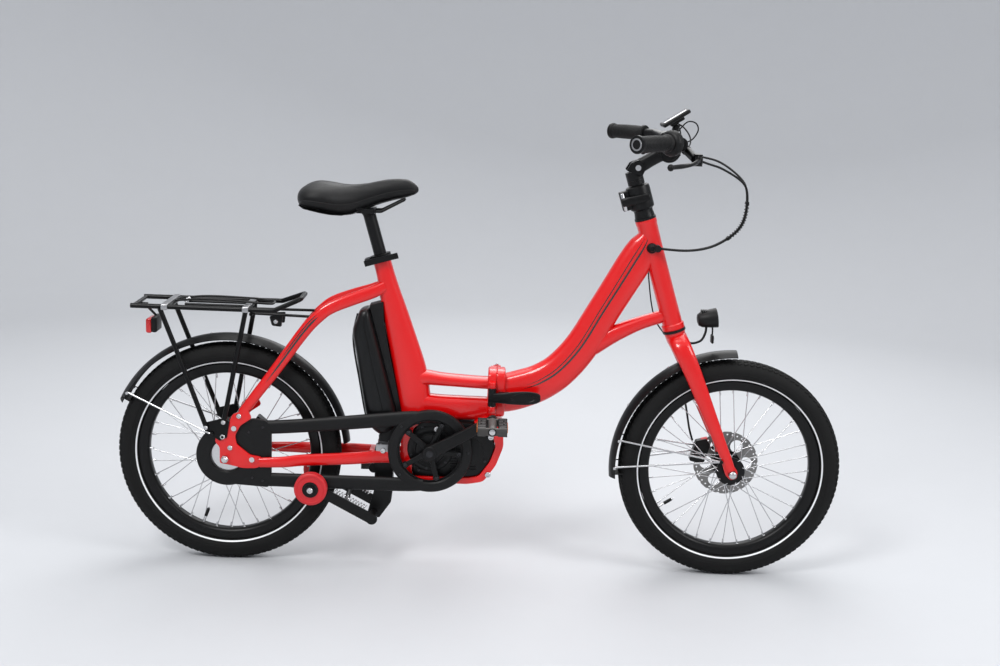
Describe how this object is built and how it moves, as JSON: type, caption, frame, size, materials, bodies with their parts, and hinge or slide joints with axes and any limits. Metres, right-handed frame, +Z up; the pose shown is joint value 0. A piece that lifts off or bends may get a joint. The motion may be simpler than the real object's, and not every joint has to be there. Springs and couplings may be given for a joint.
{
  "type": "folding bicycle",
  "caption": "Folding electric bicycle with a side-hinged low frame, small wheels, covered chain, rack and adjustable stem.",
  "frame": {"origin": "on the ground, halfway between the two axles, in the middle plane", "axes": "+X forward along the bicycle, +Y to the rider's left, +Z up"},
  "size_m": [1.6776, 0.622, 1.0822],
  "materials": {
    "red_paint": "glossy saturated red paint",
    "black_metal": "satin black",
    "black_plastic": "matte black",
    "gloss_black": "semi-gloss black with a grey sheen",
    "steel": "bright steel",
    "tyre_rubber": "dark rubber",
    "grip_rubber": "matte rubber",
    "saddle_cover": "dark synthetic cover",
    "red_plastic": "translucent red"
  },
  "bodies": {
    "rear_frame": {"rear_frame": "red_paint", "chainstays": "red_paint", "seatstays": "red_paint", "frame_hardware": "steel", "motor_housing": "black_plastic", "chain_case": "black_plastic", "chain": "steel", "battery_mount": "black_plastic", "rear_fender": "gloss_black", "rack": "black_metal", "tail_light": "red_plastic", "stand_bracket": "black_metal", "rear_caliper": "black_metal", "seat_collar": "black_metal"},
    "battery": {"battery": "black_plastic"},
    "seat_lever": {"seat_lever": "black_metal"},
    "seatpost": {"seatpost": "black_metal", "saddle_mount": "black_metal", "saddle": "saddle_cover"},
    "crank": {"crank_right": "black_metal", "crank_left": "black_metal", "chainring": "black_metal"},
    "pedal_right": {"pedal_right": "black_plastic"},
    "pedal_left": {"pedal_left": "black_plastic"},
    "rear_wheel": {"rear_tyre": "tyre_rubber", "rear_rim": "black_metal", "rear_spokes": "steel", "rear_hub": "black_metal", "rear_rotor": "steel"},
    "rear_sprocket": {"rear_sprocket": "black_metal"},
    "stand": {"stand_legs": "black_metal"},
    "roller_right": {"roller_right": "red_plastic"},
    "roller_left": {"roller_left": "red_plastic"},
    "front_frame": {"front_frame": "red_paint", "frame_fittings": "black_plastic", "hose_lower": "grip_rubber"},
    "fold_lever": {"fold_lever": "black_metal"},
    "fork": {"fork": "red_paint", "fork_hardware": "black_metal", "front_fender": "gloss_black", "headlight": "black_plastic", "stem_base": "black_metal", "hose_middle": "grip_rubber"},
    "front_wheel": {"front_tyre": "tyre_rubber", "front_rim": "black_metal", "front_spokes": "steel", "front_hub": "black_metal", "front_rotor": "steel"},
    "stem_lever": {"stem_lever": "black_metal"},
    "stem_core": {"stem_core": "black_metal", "hose_upper": "grip_rubber"},
    "stem_neck": {"stem_neck": "black_metal"},
    "handlebar": {"stem_arm": "black_metal", "handlebar": "black_metal", "grips": "grip_rubber", "controls": "black_plastic", "hose_bar": "grip_rubber"},
    "shifter": {"shifter": "black_plastic"},
    "brake_lever_right": {"brake_lever_right": "black_metal"},
    "brake_lever_left": {"brake_lever_left": "black_metal"}
  },
  "joints": [
    {"name": "frame_fold", "type": "hinge", "parent": "rear_frame", "child": "front_frame", "pos_m": [0.03195, 0.048, 0.421], "axis": [0, 0, 1], "range_deg": [0, 150]},
    {"name": "fold_lever_swing", "type": "hinge", "parent": "rear_frame", "child": "fold_lever", "pos_m": [0.02225, -0.05, 0.419], "axis": [0, 0, -1], "range_deg": [0, 110]},
    {"name": "steering", "type": "hinge", "parent": "front_frame", "child": "fork", "pos_m": [0.43275, 0, 0.584], "axis": [-0.3017, 0, 0.9534], "range_deg": [-45, 45], "deforming": ["hose_lower"]},
    {"name": "front_wheel_spin", "type": "hinge", "parent": "fork", "child": "front_wheel", "pos_m": [0.58075, 0, 0.258], "axis": [0, 1, 0], "continuous": true},
    {"name": "rear_wheel_spin", "type": "hinge", "parent": "rear_frame", "child": "rear_wheel", "pos_m": [-0.58075, 0, 0.258], "axis": [0, 1, 0], "continuous": true},
    {"name": "crank_spin", "type": "hinge", "parent": "rear_frame", "child": "crank", "pos_m": [-0.11475, 0, 0.288], "axis": [0, 1, 0], "range_deg": [-360, 360]},
    {"name": "sprocket_spin", "type": "hinge", "parent": "rear_frame", "child": "rear_sprocket", "pos_m": [-0.58075, 0, 0.258], "axis": [0, 1, 0], "range_deg": [-540, 540]},
    {"name": "pedal_right_spin", "type": "hinge", "parent": "crank", "child": "pedal_right", "pos_m": [0.02518, -0.15, 0.37544], "axis": [0, 1, 0], "continuous": true},
    {"name": "pedal_left_spin", "type": "hinge", "parent": "crank", "child": "pedal_left", "pos_m": [-0.25468, 0.15, 0.20056], "axis": [0, 1, 0], "continuous": true},
    {"name": "seatpost_slide", "type": "slide", "parent": "rear_frame", "child": "seatpost", "axis": [0.2823, 0, -0.9593], "range_m": [-0.12, 0.07]},
    {"name": "seat_lever_swing", "type": "hinge", "parent": "rear_frame", "child": "seat_lever", "pos_m": [-0.26865, -0.019, 0.71572], "axis": [-0.2823, 0, 0.9593], "range_deg": [-90, 0]},
    {"name": "stand_swing", "type": "hinge", "parent": "rear_frame", "child": "stand", "pos_m": [-0.24475, 0, 0.124], "axis": [0, -1, 0], "range_deg": [0, 60]},
    {"name": "roller_right_spin", "type": "hinge", "parent": "stand", "child": "roller_right", "pos_m": [-0.38375, -0.078, 0.197], "axis": [0, 1, 0], "continuous": true},
    {"name": "roller_left_spin", "type": "hinge", "parent": "stand", "child": "roller_left", "pos_m": [-0.38375, 0.078, 0.197], "axis": [0, 1, 0], "continuous": true},
    {"name": "battery_tilt", "type": "hinge", "parent": "rear_frame", "child": "battery", "pos_m": [-0.21341, 0.045, 0.33326], "axis": [-0.9593, 0, -0.2823], "range_deg": [0, 14]},
    {"name": "stem_lever_swing", "type": "hinge", "parent": "fork", "child": "stem_lever", "pos_m": [0.30224, -0.0175, 0.87047], "axis": [-0.3017, 0, 0.9534], "range_deg": [-90, 0]},
    {"name": "stem_lift", "type": "slide", "parent": "fork", "child": "stem_core", "axis": [-0.3017, 0, 0.9534], "range_m": [0, 0.06], "deforming": ["hose_middle"]},
    {"name": "stem_twist", "type": "hinge", "parent": "stem_core", "child": "stem_neck", "pos_m": [0.32414, 0, 0.92722], "axis": [-0.3017, 0, 0.9534], "range_deg": [-90, 0], "deforming": ["hose_upper"]},
    {"name": "stem_angle", "type": "hinge", "parent": "stem_neck", "child": "handlebar", "pos_m": [0.32925, 0, 0.948], "axis": [0, 1, 0], "range_deg": [-30, 15], "deforming": ["hose_bar"]},
    {"name": "shifter_twist", "type": "hinge", "parent": "handlebar", "child": "shifter", "pos_m": [0.37429, -0.21389, 1.01486], "axis": [-0.6822, -0.7312, -0.0073], "range_deg": [-40, 40]},
    {"name": "brake_right_pull", "type": "hinge", "parent": "handlebar", "child": "brake_lever_right", "pos_m": [0.43925, -0.181, 0.98], "axis": [0, 0, 1], "range_deg": [-18, 0], "stiffness_Nm_per_rad": 1, "springref_deg": 5.73},
    {"name": "brake_left_pull", "type": "hinge", "parent": "handlebar", "child": "brake_lever_left", "pos_m": [0.43925, 0.181, 0.98], "axis": [0, 0, 1], "range_deg": [0, 18], "stiffness_Nm_per_rad": 1, "springref_deg": -5.73}
  ],
  "couplings": [
    {"joint": "sprocket_spin", "follows": "crank_spin", "ratio": 1.5}
  ]
}
